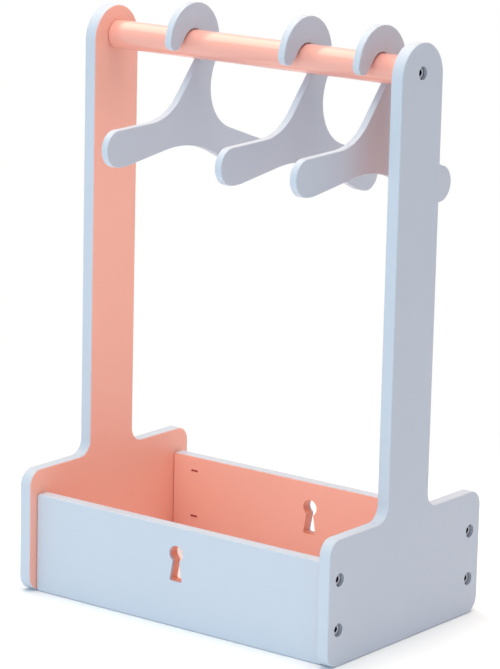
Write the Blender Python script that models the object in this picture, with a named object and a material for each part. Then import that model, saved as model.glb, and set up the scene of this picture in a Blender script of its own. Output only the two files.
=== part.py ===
"""A doll's clothes rack with a storage box in its foot and three hangers.

Two T-shaped side boards carry everything. A front and a back board bolt between their feet and
hold a thin floor, which makes the box. A round rail bolts between the tops of the uprights, and
three flat hangers swing on it.

Lengths are metres. X runs along the rail, Y to the back and Z up. The origin is the centre of the
rack's footprint, on the ground.
"""

import math

import bmesh
import bpy
from mathutils import Matrix, Vector

# The whole rack
RACK_WIDTH = 0.296
RACK_HEIGHT = 0.4495
BOARD_THICKNESS = 0.010
SEAT_GAP = 0.0003
EDGE_ROUNDING = 0.0010

# The side boards
BASE_DEPTH = 0.195
BASE_HEIGHT = 0.097
BASE_CORNER_RADIUS = 0.0125
UPRIGHT_WIDTH = 0.052
UPRIGHT_FILLET_RADIUS = 0.012

# The front and back boards of the box
BOX_SETBACK = 0.008
BOX_TOP_STEP = 0.019
BOX_CORNER_RADIUS = 0.0025
KEYHOLE_TOP_MARGIN = 0.0148
KEYHOLE_HEAD_RADIUS = 0.0062
KEYHOLE_NECK_WIDTH = 0.0058
KEYHOLE_FOOT_WIDTH = 0.0116
KEYHOLE_FOOT_DROP = 0.0215
KEYHOLE_FOOT_RADIUS = 0.0015

# The floor of the box, whose rim is thinner than its middle and lies in grooves
FLOOR_THICKNESS = 0.003
FLOOR_RIM_THICKNESS = 0.002
FLOOR_HEIGHT = 0.008
GROOVE_DEPTH = 0.003

# The rail and the threaded inserts in its ends
RAIL_DIAMETER = 0.022
RAIL_BELOW_TOP = 0.0225
RAIL_END_CHAMFER = 0.0008
INSERT_DIAMETER = 0.008
INSERT_LENGTH = 0.012
INSERT_RECESS = 0.0005
INSERT_RIB_HEIGHT = 0.0005
INSERT_BORE_SPARE = 0.0015

# The bolts
BOLT_SHANK_DIAMETER = 0.005
BOLT_HEAD_DIAMETER = 0.0094
BOLT_HEAD_HEIGHT = 0.003
BOLT_HEAD_CHAMFER = 0.0004
BOLT_HEAD_RECESS = 0.0025
BOLT_SOCKET_WIDTH = 0.0042
BOLT_SOCKET_DEPTH = 0.002
BOLT_TIP_CHAMFER = 0.0006
BOLT_PAST_NUT = 0.0025
BOLT_BORE_SPARE = 0.001
RAIL_BOLT_GRIP = 0.0105
LOWER_BOLT_HEIGHT = 0.028
UPPER_BOLT_DROP = 0.012

# The barrel nuts, which lie across the bolts in the front and back boards
NUT_DIAMETER = 0.008
NUT_INSET = 0.022
NUT_BACK_WALL = 0.0017
NUT_RIM_CHAMFER = 0.0003
NUT_SLOT_LENGTH = 0.0058
NUT_SLOT_WIDTH = 0.0011
NUT_SLOT_DEPTH = 0.0009

# The hangers, with places measured from the rail's axis
HANGER_THICKNESS = 0.006
HANGER_ROUNDING = 0.0008
SLOT_PLAY = 0.0020
SLOT_ANGLE = math.radians(58.6)
HOOK_WALL = 0.0170
HOOK_CENTRE_UP = 0.0017
HOOK_TIP_RADIUS = 0.0068
NECK_BACK_DROP = 0.0060
NECK_BACK_ANGLE = math.radians(17.4)
NECK_BACK_RADIUS = 0.0254
NECK_ROOT_BACK_RADIUS = 0.0358
NECK_ROOT_FRONT_RADIUS = 0.0472
ARM_CENTRE_BACK = 0.0089
ARM_REACH = 0.0995
ARM_TIP_RADIUS = 0.0140
ARM_TIP_DROP = 0.0825
ARM_TOP_ANGLE = math.radians(10.2)
ARM_UNDER_ANGLE = math.radians(16.9)
ARM_UNDER_FLAT = 0.0071
ARM_HEEL_RADIUS = 0.0482
ARCH_RADIUS = 0.1015
HANGER_PLACE_SHARES = {"hanger_left": -0.233, "hanger_middle": 0.152, "hanger_right": 0.396}

# How finely round shapes are cut into facets, and how far cutters run past a surface
ARC_SAG = 0.0001
EDGE_STEPS = 2
RAIL_SIDES = 40
BORE_SIDES = 16
BOLT_SIDES = 16
NUT_SIDES = 16
INSERT_SIDES = 16
INSERT_RIBS = 4
CUT_OVERRUN = 0.002
MERGE_DISTANCE = 0.000001
SMOOTH_ANGLE = math.radians(40)

# Finishes, as colour, roughness and metallic value
PALE_PAINT = ((0.58, 0.63, 0.74), 0.45, 0.0)
CORAL_PAINT = ((0.90, 0.38, 0.29), 0.45, 0.0)
BOLT_STEEL = ((0.30, 0.31, 0.33), 0.35, 1.0)

# Places that several pieces share
INNER_HALF_WIDTH = RACK_WIDTH / 2 - BOARD_THICKNESS
BOX_HEIGHT = BASE_HEIGHT - BOX_TOP_STEP
BOX_BOARD_Y = BASE_DEPTH / 2 - BOX_SETBACK - BOARD_THICKNESS / 2
BOX_INNER_HALF_DEPTH = BOX_BOARD_Y - BOARD_THICKNESS / 2
BOX_BOARD_HALF_LENGTH = INNER_HALF_WIDTH - SEAT_GAP
BOLT_HEIGHTS = {"lower": LOWER_BOLT_HEIGHT, "upper": BOX_HEIGHT - UPPER_BOLT_DROP}
RAIL_HEIGHT = RACK_HEIGHT - RAIL_BELOW_TOP
HEAD_FACE_X = RACK_WIDTH / 2 - BOLT_HEAD_RECESS
HEAD_SEAT_X = HEAD_FACE_X - BOLT_HEAD_HEIGHT
NUT_X = INNER_HALF_WIDTH - NUT_INSET
NUT_LENGTH = BOARD_THICKNESS - NUT_BACK_WALL - SEAT_GAP
BORE_RADIUS = BOLT_SHANK_DIAMETER / 2 + SEAT_GAP
GROOVE_BOTTOM_Z = FLOOR_HEIGHT - SEAT_GAP
GROOVE_TOP_Z = FLOOR_HEIGHT + FLOOR_RIM_THICKNESS + SEAT_GAP
SLOT_RADIUS = RAIL_DIAMETER / 2 + SLOT_PLAY

# Planes in which outlines are drawn: the columns are the outline's two axes and its thickness
SIDE_PLANE = Matrix(((0, 0, 1, 0), (1, 0, 0, 0), (0, 1, 0, 0), (0, 0, 0, 1)))
FRONT_PLANE = Matrix(((1, 0, 0, 0), (0, 0, -1, 0), (0, 1, 0, 0), (0, 0, 0, 1)))

# The left and the back pieces are the right and the front ones, turned about the rack's middle
HALF_TURN = math.pi
SIDE_TURNS = {"right": 0, "left": HALF_TURN}
FACE_TURNS = {"front": 0, "back": HALF_TURN}


def clear_scene():
    """Removes whatever the file holds when the script starts."""
    for obj in list(bpy.data.objects):
        bpy.data.objects.remove(obj, do_unlink=True)


# Outlines


def arc(centre, radius, start, end):
    """Points on an arc from one angle to the other, both ends included."""
    facet = 2 * math.acos(max(0, 1 - ARC_SAG / radius))
    steps = max(1, math.ceil(abs(end - start) / facet))
    angles = [start + (end - start) * step / steps for step in range(steps + 1)]
    return [centre + radius * Vector((math.cos(angle), math.sin(angle))) for angle in angles]


def meeting(point, along, other_point, other_along):
    """The point where two lines meet, each given by a point and a direction."""
    across = Vector((-other_along.y, other_along.x))
    return point + along * ((other_point - point).dot(across) / along.dot(across))


def sharp(points):
    """Outline corners that stay as they are."""
    return [(point, 0) for point in points]


def rounded(corners):
    """Turns (corner, radius) pairs into an outline whose corners are tangent arcs.

    Where a wall is too short for the arcs at its two ends, both give way alike.
    """
    count = len(corners)
    points = [Vector(corner) for corner, radius in corners]
    walls = [points[(i + 1) % count] - points[i] for i in range(count)]
    turns = []
    for i in range(count):
        before = walls[i - 1]
        after = walls[i]
        turns.append(math.atan2(before.cross(after), before.dot(after)))
    reaches = [corners[i][1] * math.tan(abs(turns[i]) / 2) for i in range(count)]
    fits = [walls[i].length / max(reaches[i] + reaches[(i + 1) % count], walls[i].length)
            for i in range(count)]
    outline = []
    for i in range(count):
        share = min(fits[i - 1], fits[i])
        radius = corners[i][1] * share
        if radius * abs(turns[i]) < MERGE_DISTANCE:
            outline.append(points[i])
            continue
        into = walls[i - 1].normalized()
        side = math.copysign(1, turns[i])
        inward = Vector((-into.y, into.x)) * side
        centre = points[i] - into * reaches[i] * share + inward * radius
        start = math.atan2(-inward.y, -inward.x)
        outline += arc(centre, radius, start, start + turns[i])
    return outline


def centroid(outline):
    """The centre of area of a closed outline."""
    area = 0
    moment = Vector((0, 0))
    for i, point in enumerate(outline):
        before = outline[i - 1]
        doubled = before.cross(point)
        area += doubled
        moment += (before + point) * doubled
    return moment / (3 * area)


def side_board_outline():
    """The T of a side board, in depth and height."""
    half_depth = BASE_DEPTH / 2
    half_upright = UPRIGHT_WIDTH / 2
    top_centre = Vector((0, RACK_HEIGHT - half_upright))
    corners = [((-half_depth, 0), BASE_CORNER_RADIUS),
               ((half_depth, 0), BASE_CORNER_RADIUS),
               ((half_depth, BASE_HEIGHT), BASE_CORNER_RADIUS),
               ((half_upright, BASE_HEIGHT), UPRIGHT_FILLET_RADIUS)]
    corners += sharp(arc(top_centre, half_upright, 0, math.pi))
    corners += [((-half_upright, BASE_HEIGHT), UPRIGHT_FILLET_RADIUS),
                ((-half_depth, BASE_HEIGHT), BASE_CORNER_RADIUS)]
    return rounded(corners)


def box_board_outline():
    """The front or back board, in width and height."""
    half = BOX_BOARD_HALF_LENGTH
    return rounded([((-half, 0), BOX_CORNER_RADIUS),
                    ((half, 0), BOX_CORNER_RADIUS),
                    ((half, BOX_HEIGHT), BOX_CORNER_RADIUS),
                    ((-half, BOX_HEIGHT), BOX_CORNER_RADIUS)])


def keyhole_outline():
    """A round head on a foot that spreads downwards, in width and height."""
    head = Vector((0, BOX_HEIGHT - KEYHOLE_TOP_MARGIN - KEYHOLE_HEAD_RADIUS))
    half_foot = KEYHOLE_FOOT_WIDTH / 2
    foot_height = head.y - KEYHOLE_FOOT_DROP
    open_angle = math.asin(min(1, KEYHOLE_NECK_WIDTH / 2 / KEYHOLE_HEAD_RADIUS))
    start = -math.pi / 2 + open_angle
    corners = sharp(arc(head, KEYHOLE_HEAD_RADIUS, start, math.pi - start))
    corners += [((-half_foot, foot_height), KEYHOLE_FOOT_RADIUS),
                ((half_foot, foot_height), KEYHOLE_FOOT_RADIUS)]
    return rounded(corners)


def hanger_outline():
    """The hanger in depth and height, before it swings to its balance.

    The rail's axis is at (0, 0). The slot opens down and to the front, its back wall runs on as
    the neck's front edge, and the two arms mirror each other behind the rail's axis.
    """
    mouth = Vector((-math.cos(SLOT_ANGLE), -math.sin(SLOT_ANGLE)))
    to_tip = Vector((mouth.y, -mouth.x))
    slot_centre = mouth * (SLOT_PLAY - SEAT_GAP)
    hook_radius = SLOT_RADIUS + HOOK_WALL
    hook_centre = Vector((0, HOOK_CENTRE_UP))

    # The hook's tip touches the hook's round back and the slot's front wall
    from_hook = slot_centre + to_tip * (SLOT_RADIUS + HOOK_TIP_RADIUS) - hook_centre
    towards = from_hook.dot(mouth)
    spread = (hook_radius - HOOK_TIP_RADIUS) ** 2 - from_hook.length_squared
    tip_centre = hook_centre + from_hook + mouth * (math.sqrt(towards ** 2 + spread) - towards)
    tip_from_hook = tip_centre - hook_centre
    tip_start = math.atan2(tip_from_hook.y, tip_from_hook.x) % (2 * math.pi)
    slot_start = math.atan2(to_tip.y, to_tip.x)

    # The arms' round ends, with the flat and the slopes that run into them
    end_offset = ARM_REACH - ARM_TIP_RADIUS
    front_end = Vector((ARM_CENTRE_BACK - end_offset, -ARM_TIP_DROP))
    back_end = Vector((ARM_CENTRE_BACK + end_offset, -ARM_TIP_DROP))
    front_top = arc(front_end, ARM_TIP_RADIUS, math.pi / 2 + ARM_TOP_ANGLE, 3 * math.pi / 2)
    back_top = arc(back_end, ARM_TIP_RADIUS, -math.pi / 2, math.pi / 2 - ARM_TOP_ANGLE)
    underside = -ARM_TIP_DROP - ARM_TIP_RADIUS
    heel_offset = end_offset - ARM_UNDER_FLAT
    arch_height = underside + heel_offset * math.tan(ARM_UNDER_ANGLE)

    # Where the neck's edges meet the arms' top edges
    front_slope = Vector((math.cos(ARM_TOP_ANGLE), math.sin(ARM_TOP_ANGLE)))
    back_slope = Vector((math.cos(ARM_TOP_ANGLE), -math.sin(ARM_TOP_ANGLE)))
    neck_front = meeting(slot_centre - to_tip * SLOT_RADIUS, mouth, front_top[0], front_slope)
    neck_back = Vector((hook_radius, -NECK_BACK_DROP))
    neck_lean = Vector((-math.sin(NECK_BACK_ANGLE), -math.cos(NECK_BACK_ANGLE)))
    neck_root = meeting(neck_back, neck_lean, back_top[-1], back_slope)

    corners = sharp(arc(hook_centre, hook_radius, 0, tip_start))
    corners += sharp(arc(tip_centre, HOOK_TIP_RADIUS, tip_start, slot_start + math.pi)[1:])
    corners += sharp(arc(slot_centre, SLOT_RADIUS, slot_start, slot_start - math.pi))
    corners += [(neck_front, NECK_ROOT_FRONT_RADIUS)]
    corners += sharp(front_top)
    corners += [((ARM_CENTRE_BACK - heel_offset, underside), ARM_HEEL_RADIUS),
                ((ARM_CENTRE_BACK, arch_height), ARCH_RADIUS),
                ((ARM_CENTRE_BACK + heel_offset, underside), ARM_HEEL_RADIUS)]
    corners += sharp(back_top)
    corners += [(neck_root, NECK_ROOT_BACK_RADIUS),
                (neck_back, NECK_BACK_RADIUS)]
    return rounded(corners)


# Meshes


def finished_mesh(name, bm):
    """Closes a bmesh into a mesh with outward normals and smooth round faces."""
    bmesh.ops.recalc_face_normals(bm, faces=bm.faces)
    mesh = bpy.data.meshes.new(name)
    bm.to_mesh(mesh)
    bm.free()
    mesh.shade_smooth()
    mesh.set_sharp_from_angle(angle=SMOOTH_ANGLE)
    return mesh


def plate(name, outline, thickness, plane, rounding=0, back_index=0, index=0):
    """A flat plate of any outline, centred on its plane, with both rims rounded.

    The face on the plane's negative side gets back_index as its material, the rest gets index.
    """
    bm = bmesh.new()
    corners = [bm.verts.new((point.x, point.y, -thickness / 2)) for point in outline]
    back = bm.faces.new(corners)
    extruded = bmesh.ops.extrude_face_region(bm, geom=[back])
    raised = [item for item in extruded["geom"] if isinstance(item, bmesh.types.BMVert)]
    bmesh.ops.translate(bm, verts=raised, vec=(0, 0, thickness))
    bmesh.ops.recalc_face_normals(bm, faces=bm.faces)
    for face in bm.faces:
        face.material_index = back_index if face.normal.z < -math.cos(SMOOTH_ANGLE) else index
    if rounding:
        walls = {face for face in bm.faces if abs(face.normal.z) < math.cos(SMOOTH_ANGLE)}
        rims = [edge for edge in bm.edges if len(walls.intersection(edge.link_faces)) == 1]
        bevelled = bmesh.ops.bevel(bm, geom=rims, offset=rounding, segments=EDGE_STEPS, profile=0.5,
                                   affect="EDGES", clamp_overlap=True, material=index)
        for face in bevelled["faces"]:
            face.material_index = index
    bmesh.ops.transform(bm, matrix=plane, verts=bm.verts)
    return finished_mesh(name, bm)


def block(name, low, high):
    """A plain box between two corners."""
    middle = (Vector(low) + Vector(high)) / 2
    size = Vector(high) - Vector(low)
    bm = bmesh.new()
    bmesh.ops.create_cube(bm, size=1)
    bmesh.ops.transform(bm, matrix=Matrix.LocRotScale(middle, None, size), verts=bm.verts)
    return finished_mesh(name, bm)


def turned(name, profile, sides):
    """A round piece about the X axis, from a profile of (place along X, radius) pairs."""
    bm = bmesh.new()
    points = [bm.verts.new((along, 0, radius)) for along, radius in profile]
    edges = [bm.edges.new(pair) for pair in zip(points, points[1:])]
    bmesh.ops.spin(bm, geom=points + edges, cent=(0, 0, 0), axis=(1, 0, 0), angle=2 * math.pi,
                   steps=sides, use_merge=True)
    bmesh.ops.remove_doubles(bm, verts=bm.verts, dist=MERGE_DISTANCE)
    return finished_mesh(name, bm)


def moved(mesh, offset, turn=0, axis="Z"):
    """A copy of a mesh, turned about the origin and then moved."""
    copy = mesh.copy()
    copy.transform(Matrix.Translation(offset) @ Matrix.Rotation(turn, 4, axis))
    return copy


def together(name, meshes):
    """Several separate shells as one mesh, for a cutter."""
    bm = bmesh.new()
    for mesh in meshes:
        bm.from_mesh(mesh)
    return finished_mesh(name, bm)


def carved(mesh, cutters):
    """Cuts a mesh by others, one after another, with Boolean modifiers."""
    collection = bpy.context.scene.collection
    blank = bpy.data.objects.new(mesh.name, mesh)
    collection.objects.link(blank)
    tools = []
    for cutter in cutters:
        tool = bpy.data.objects.new(cutter.name, cutter)
        tool.hide_render = True
        tool.display_type = "WIRE"
        collection.objects.link(tool)
        tools.append(tool)
        modifier = blank.modifiers.new(tool.name, "BOOLEAN")
        modifier.operation = "DIFFERENCE"
        modifier.solver = "EXACT"
        modifier.object = tool
    depsgraph = bpy.context.evaluated_depsgraph_get()
    result = bpy.data.meshes.new_from_object(blank.evaluated_get(depsgraph))
    result.name = mesh.name
    for obj in tools + [blank]:
        bpy.data.objects.remove(obj, do_unlink=True)
    return result


# Pieces


def bolt_bore():
    """The cutter for a bolt in the right side board, about X, from outside to inside."""
    outside = RACK_WIDTH / 2 + CUT_OVERRUN
    seat = HEAD_SEAT_X - SEAT_GAP
    inside = INNER_HALF_WIDTH - CUT_OVERRUN
    head_radius = BOLT_HEAD_DIAMETER / 2 + SEAT_GAP
    return turned("bolt_bore", [(outside, 0), (outside, head_radius), (seat, head_radius),
                                (seat, BORE_RADIUS), (inside, BORE_RADIUS), (inside, 0)], BORE_SIDES)


def side_board():
    """The right side board, with its coral face inwards, its bolt bores and the floor's groove."""
    blank = plate("side_board", side_board_outline(), BOARD_THICKNESS, SIDE_PLANE,
                  rounding=EDGE_ROUNDING, back_index=1)
    blank.transform(Matrix.Translation((RACK_WIDTH / 2 - BOARD_THICKNESS / 2, 0, 0)))
    bore = bolt_bore()
    cutters = [moved(bore, (0, 0, RAIL_HEIGHT))]
    for side in (-1, 1):
        for height in BOLT_HEIGHTS.values():
            cutters.append(moved(bore, (0, side * BOX_BOARD_Y, height)))
    reach = BOX_INNER_HALF_DEPTH + GROOVE_DEPTH
    cutters.append(block("groove",
                         (INNER_HALF_WIDTH - CUT_OVERRUN, -reach, GROOVE_BOTTOM_Z),
                         (INNER_HALF_WIDTH + GROOVE_DEPTH, reach, GROOVE_TOP_Z)))
    return carved(blank, [together("side_board_cuts", cutters)])


def box_board():
    """The front board, with its coral face to the back, the keyhole, nut bores and floor groove."""
    blank = plate("box_board", box_board_outline(), BOARD_THICKNESS, FRONT_PLANE,
                  rounding=EDGE_ROUNDING, back_index=1)
    half = BOARD_THICKNESS / 2
    keyhole = plate("keyhole", keyhole_outline(), BOARD_THICKNESS + 2 * CUT_OVERRUN, FRONT_PLANE,
                    back_index=1, index=1)
    past = BOX_BOARD_HALF_LENGTH + CUT_OVERRUN
    groove = block("groove",
                   (-past, half - GROOVE_DEPTH, GROOVE_BOTTOM_Z),
                   (past, half + CUT_OVERRUN, GROOVE_TOP_Z))
    nut_radius = NUT_DIAMETER / 2 + SEAT_GAP
    nut_floor = half - NUT_LENGTH - SEAT_GAP
    nut_bore = turned("nut_bore", [(nut_floor, 0), (nut_floor, nut_radius),
                                   (half + CUT_OVERRUN, nut_radius), (half + CUT_OVERRUN, 0)], NUT_SIDES)
    tip = NUT_X - NUT_DIAMETER / 2 - BOLT_PAST_NUT - BOLT_BORE_SPARE
    end_bore = turned("end_bore", [(tip, 0), (tip, BORE_RADIUS), (past, BORE_RADIUS), (past, 0)],
                      BORE_SIDES)
    nut_bores = []
    end_bores = []
    for side, turn in ((-1, HALF_TURN), (1, 0)):
        for height in BOLT_HEIGHTS.values():
            nut_bores.append(moved(nut_bore, (side * NUT_X, 0, height), HALF_TURN / 2))
            end_bores.append(moved(end_bore, (0, 0, height), turn))
    board = carved(blank, [together("openings", [keyhole, groove] + nut_bores),
                           together("end_bores", end_bores)])
    board.transform(Matrix.Translation((0, -BOX_BOARD_Y, 0)))
    return board


def floor_board():
    """The floor of the box, whose thinner rim lies in grooves on all four sides."""
    half_width = INNER_HALF_WIDTH + GROOVE_DEPTH - SEAT_GAP
    half_depth = BOX_INNER_HALF_DEPTH + GROOVE_DEPTH - SEAT_GAP
    rim = block("floor_board", (-half_width, -half_depth, FLOOR_HEIGHT),
                (half_width, half_depth, FLOOR_HEIGHT + FLOOR_RIM_THICKNESS))
    bm = bmesh.new()
    bm.from_mesh(rim)
    top = max(bm.faces, key=lambda face: face.calc_center_median().z)
    bmesh.ops.inset_region(bm, faces=[top], thickness=GROOVE_DEPTH, use_boundary=True,
                           use_even_offset=True)
    extruded = bmesh.ops.extrude_face_region(bm, geom=[top])
    raised = [item for item in extruded["geom"] if isinstance(item, bmesh.types.BMVert)]
    bmesh.ops.translate(bm, verts=raised, vec=(0, 0, FLOOR_THICKNESS - FLOOR_RIM_THICKNESS))
    bmesh.ops.delete(bm, geom=[top], context="FACES_ONLY")
    return finished_mesh("floor_board", bm)


def rail():
    """The round rail, with chamfered ends and a blind bore for an insert in each."""
    end = INNER_HALF_WIDTH - SEAT_GAP
    bore_radius = INSERT_DIAMETER / 2 + SEAT_GAP
    bore_floor = end - INSERT_RECESS - INSERT_LENGTH - INSERT_BORE_SPARE
    radius = RAIL_DIAMETER / 2
    half_profile = [(bore_floor, 0), (bore_floor, bore_radius), (end, bore_radius),
                    (end, radius - RAIL_END_CHAMFER), (end - RAIL_END_CHAMFER, radius)]
    other_half = [(-along, distance) for along, distance in reversed(half_profile)]
    return turned("rail", half_profile + other_half, RAIL_SIDES)


def rail_insert():
    """The threaded insert in the rail's right end, with ribs that bite into the wood."""
    outer_end = INNER_HALF_WIDTH - SEAT_GAP - INSERT_RECESS
    crest = INSERT_DIAMETER / 2
    root = crest - INSERT_RIB_HEIGHT
    pitch = INSERT_LENGTH / INSERT_RIBS
    profile = [(outer_end - INSERT_LENGTH, BORE_RADIUS)]
    for rib in range(INSERT_RIBS):
        start = outer_end - INSERT_LENGTH + rib * pitch
        profile += [(start, root), (start + pitch / 2, crest)]
    profile += [(outer_end, root), (outer_end, BORE_RADIUS), profile[0]]
    return turned("rail_insert", profile, INSERT_SIDES)


def bolt(tip_x):
    """A bolt about X with its head at the right board's outside and its tip at tip_x."""
    head = BOLT_HEAD_DIAMETER / 2
    shank = BOLT_SHANK_DIAMETER / 2
    blank = turned("bolt", [(HEAD_FACE_X, 0), (HEAD_FACE_X, head - BOLT_HEAD_CHAMFER),
                            (HEAD_FACE_X - BOLT_HEAD_CHAMFER, head), (HEAD_SEAT_X, head),
                            (HEAD_SEAT_X, shank), (tip_x + BOLT_TIP_CHAMFER, shank),
                            (tip_x, shank - BOLT_TIP_CHAMFER), (tip_x, 0)], BOLT_SIDES)
    across_corners = BOLT_SOCKET_WIDTH / math.sqrt(3)
    hexagon = [Matrix.Rotation(corner * math.pi / 3, 2) @ Vector((across_corners, 0))
               for corner in range(6)]
    socket = plate("socket", hexagon, 2 * BOLT_SOCKET_DEPTH, SIDE_PLANE)
    return carved(blank, [moved(socket, (HEAD_FACE_X, 0, 0))])


def barrel_nut():
    """A barrel nut that lies along Y, with its slotted end to the back and the bolt's bore on X."""
    end = BOARD_THICKNESS / 2
    radius = NUT_DIAMETER / 2
    blank = turned("barrel_nut", [(end, 0), (end, radius - NUT_RIM_CHAMFER),
                                  (end - NUT_RIM_CHAMFER, radius), (end - NUT_LENGTH, radius),
                                  (end - NUT_LENGTH, 0)], NUT_SIDES)
    for face in blank.polygons:
        face.material_index = 1 if face.normal.x > math.cos(SMOOTH_ANGLE) else 0
    blank.transform(Matrix.Rotation(HALF_TURN / 2, 4, "Z"))
    half_length = NUT_SLOT_LENGTH / 2
    half_width = NUT_SLOT_WIDTH / 2
    slot = block("slot", (-half_length, end - NUT_SLOT_DEPTH, -half_width),
                 (half_length, end + CUT_OVERRUN, half_width))
    past = radius + CUT_OVERRUN
    bore = turned("bore", [(-past, 0), (-past, BORE_RADIUS), (past, BORE_RADIUS), (past, 0)], BORE_SIDES)
    return carved(blank, [slot, bore])


# Placing


def dress(obj, finishes):
    """Gives an object materials of its own, one for each finish."""
    obj.data.materials.clear()
    for slot, (colour, roughness, metallic) in enumerate(finishes):
        material = bpy.data.materials.new(f"{obj.name}_finish_{slot}")
        material.use_nodes = True
        shader = material.node_tree.nodes["Principled BSDF"]
        shader.inputs["Base Color"].default_value = (*colour, 1)
        shader.inputs["Roughness"].default_value = roughness
        shader.inputs["Metallic"].default_value = metallic
        obj.data.materials.append(material)


def place(name, mesh, finishes, location=(0, 0, 0), turn=(0, 0, 0)):
    """Puts a named piece into the rack, with its own copy of the mesh."""
    obj = bpy.data.objects.new(name, mesh.copy())
    obj.data.name = name
    obj.location = location
    obj.rotation_euler = turn
    bpy.context.scene.collection.objects.link(obj)
    dress(obj, finishes)
    return obj


def build():
    """Builds the whole rack."""
    clear_scene()
    board = side_board()
    for side, turn in SIDE_TURNS.items():
        place(f"{side}_side_panel", board, [PALE_PAINT, CORAL_PAINT], turn=(0, 0, turn))
    board = box_board()
    for face, turn in FACE_TURNS.items():
        place(f"{face}_panel", board, [PALE_PAINT, CORAL_PAINT], turn=(0, 0, turn))
    place("floor_panel", floor_board(), [PALE_PAINT])

    panel_bolt = bolt(NUT_X - NUT_DIAMETER / 2 - BOLT_PAST_NUT)
    nut = barrel_nut()
    for face, face_turn in FACE_TURNS.items():
        for side, side_turn in SIDE_TURNS.items():
            for level, height in BOLT_HEIGHTS.items():
                corner = f"{level}_{face}_{side}"
                depth = -BOX_BOARD_Y * math.cos(face_turn)
                nut_place = (NUT_X * math.cos(side_turn), depth, height)
                place(f"bolt_{corner}", panel_bolt, [BOLT_STEEL], (0, depth, height), (0, 0, side_turn))
                place(f"nut_{corner}", nut, [BOLT_STEEL, CORAL_PAINT], nut_place, (0, 0, face_turn))

    place("rail", rail(), [CORAL_PAINT], (0, 0, RAIL_HEIGHT))
    rail_bolt = bolt(INNER_HALF_WIDTH - SEAT_GAP - INSERT_RECESS - RAIL_BOLT_GRIP)
    insert = rail_insert()
    for side, turn in SIDE_TURNS.items():
        place(f"rail_bolt_{side}", rail_bolt, [BOLT_STEEL], (0, 0, RAIL_HEIGHT), (0, 0, turn))
        place(f"rail_insert_{side}", insert, [BOLT_STEEL], (0, 0, RAIL_HEIGHT), (0, 0, turn))

    outline = hanger_outline()
    hanger = plate("hanger", outline, HANGER_THICKNESS, SIDE_PLANE, rounding=HANGER_ROUNDING)
    weight = centroid(outline)
    swing = -math.atan2(weight.x, -weight.y)
    for name, share in HANGER_PLACE_SHARES.items():
        place(name, hanger, [PALE_PAINT], (share * 2 * INNER_HALF_WIDTH, 0, RAIL_HEIGHT), (swing, 0, 0))


build()
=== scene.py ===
"""Dresses a doll's clothes rack: two-tone painted boards, a coral rail, three hangers and the hardware.

Lengths are metres. X runs along the rail, Y to the back and Z up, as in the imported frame, whose
boxes give every piece its place. Each piece is modelled here with finely rounded edges.
"""

import logging
import math
from collections.abc import Callable, Iterable, Sequence
from dataclasses import dataclass
from enum import Enum
from typing import Any

import bmesh
import bpy
from mathutils import Matrix, Vector


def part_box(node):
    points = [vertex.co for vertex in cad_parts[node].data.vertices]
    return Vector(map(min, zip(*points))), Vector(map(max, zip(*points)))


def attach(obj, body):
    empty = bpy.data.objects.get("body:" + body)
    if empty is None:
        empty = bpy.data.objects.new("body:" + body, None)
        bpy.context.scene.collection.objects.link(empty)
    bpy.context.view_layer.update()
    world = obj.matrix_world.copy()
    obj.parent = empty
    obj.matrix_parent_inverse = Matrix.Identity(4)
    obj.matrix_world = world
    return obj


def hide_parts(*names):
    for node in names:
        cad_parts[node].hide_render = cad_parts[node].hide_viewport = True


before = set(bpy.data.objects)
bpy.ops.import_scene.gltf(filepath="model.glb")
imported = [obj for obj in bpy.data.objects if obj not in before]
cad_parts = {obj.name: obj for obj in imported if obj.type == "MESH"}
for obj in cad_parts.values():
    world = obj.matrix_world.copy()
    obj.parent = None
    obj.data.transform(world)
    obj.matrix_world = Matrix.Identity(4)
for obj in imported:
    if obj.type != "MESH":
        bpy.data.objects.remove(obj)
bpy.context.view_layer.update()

log = logging.getLogger("rack")

# Bench settings: how finely arcs are cut, when points merge and how edges and faces are told apart
ARC_SAG = 0.00001
MERGE_DISTANCE = 0.000001
SEED_SIZE = 0.01
CUT_OVERRUN = 0.002
RIM_ANGLE = math.radians(60)
SMOOTH_ANGLE = math.radians(40)
FLAT_DOT = 0.999
STEEP_DOT = 0.5
PAINT_WRAP_DOT = math.cos(math.radians(36))

# The part of its range that a noise mostly fills
NOISE_SPAN = (0.3, 0.7)
PURE_WHITE = (1.0, 1.0, 1.0, 1.0)

# The words in the nodes' names. Left and back pieces are right and front ones, turned half round
SIDES = ("left", "right")
FACES = ("front", "back")
LEVELS = ("lower", "upper")
NO_TURN = Matrix.Identity(4)
QUARTER_TURN = Matrix.Rotation(math.pi / 2, 4, "Z")
HALF_TURN = Matrix.Rotation(math.pi, 4, "Z")
TURNS = {"right": NO_TURN, "front": NO_TURN, "left": HALF_TURN, "back": HALF_TURN}

# Planes in which outlines are drawn: the columns are the outline's two axes and its thickness
SIDE_PLANE = Matrix(((0, 0, 1, 0), (1, 0, 0, 0), (0, 1, 0, 0), (0, 0, 0, 1)))
FRONT_PLANE = Matrix(((1, 0, 0, 0), (0, 0, -1, 0), (0, 1, 0, 0), (0, 0, 0, 1)))


class Axis(Enum):
    """The direction in which a board's grain runs."""

    X = 0
    Y = 1
    Z = 2


class Slot(Enum):
    """Material slots."""

    BOARD = "two_tone_board"
    FLOOR = "white_board"
    RAIL = "coral_rail"
    HANGER = "white_hanger"
    STEEL = "bolt_steel"
    NUT = "painted_nut"


class Zone(Enum):
    """The parts of a piece's surface that can have a finish of their own."""

    MAIN = "all that isn't named below"
    INSIDE = "a board's inner face, and the ends that meet another board"
    BORE = "the mouth of a bolt's bore"
    KEYHOLE = "the keyhole's wall"
    # Painted shade with a painted pink reflection of the coral: the front band of the keyhole's wall,
    # where the outer coat runs in.
    SHADED_BAND = "the keyhole's wall where the inner and outer coats lap"
    SOCKET = "the hexagon in a bolt's head"
    HEAD_SIDE = "the side of a bolt's head"
    END = "the end of a nut that shows"
    SLOT = "the slot in a nut's end"


# The frame's solids


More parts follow.
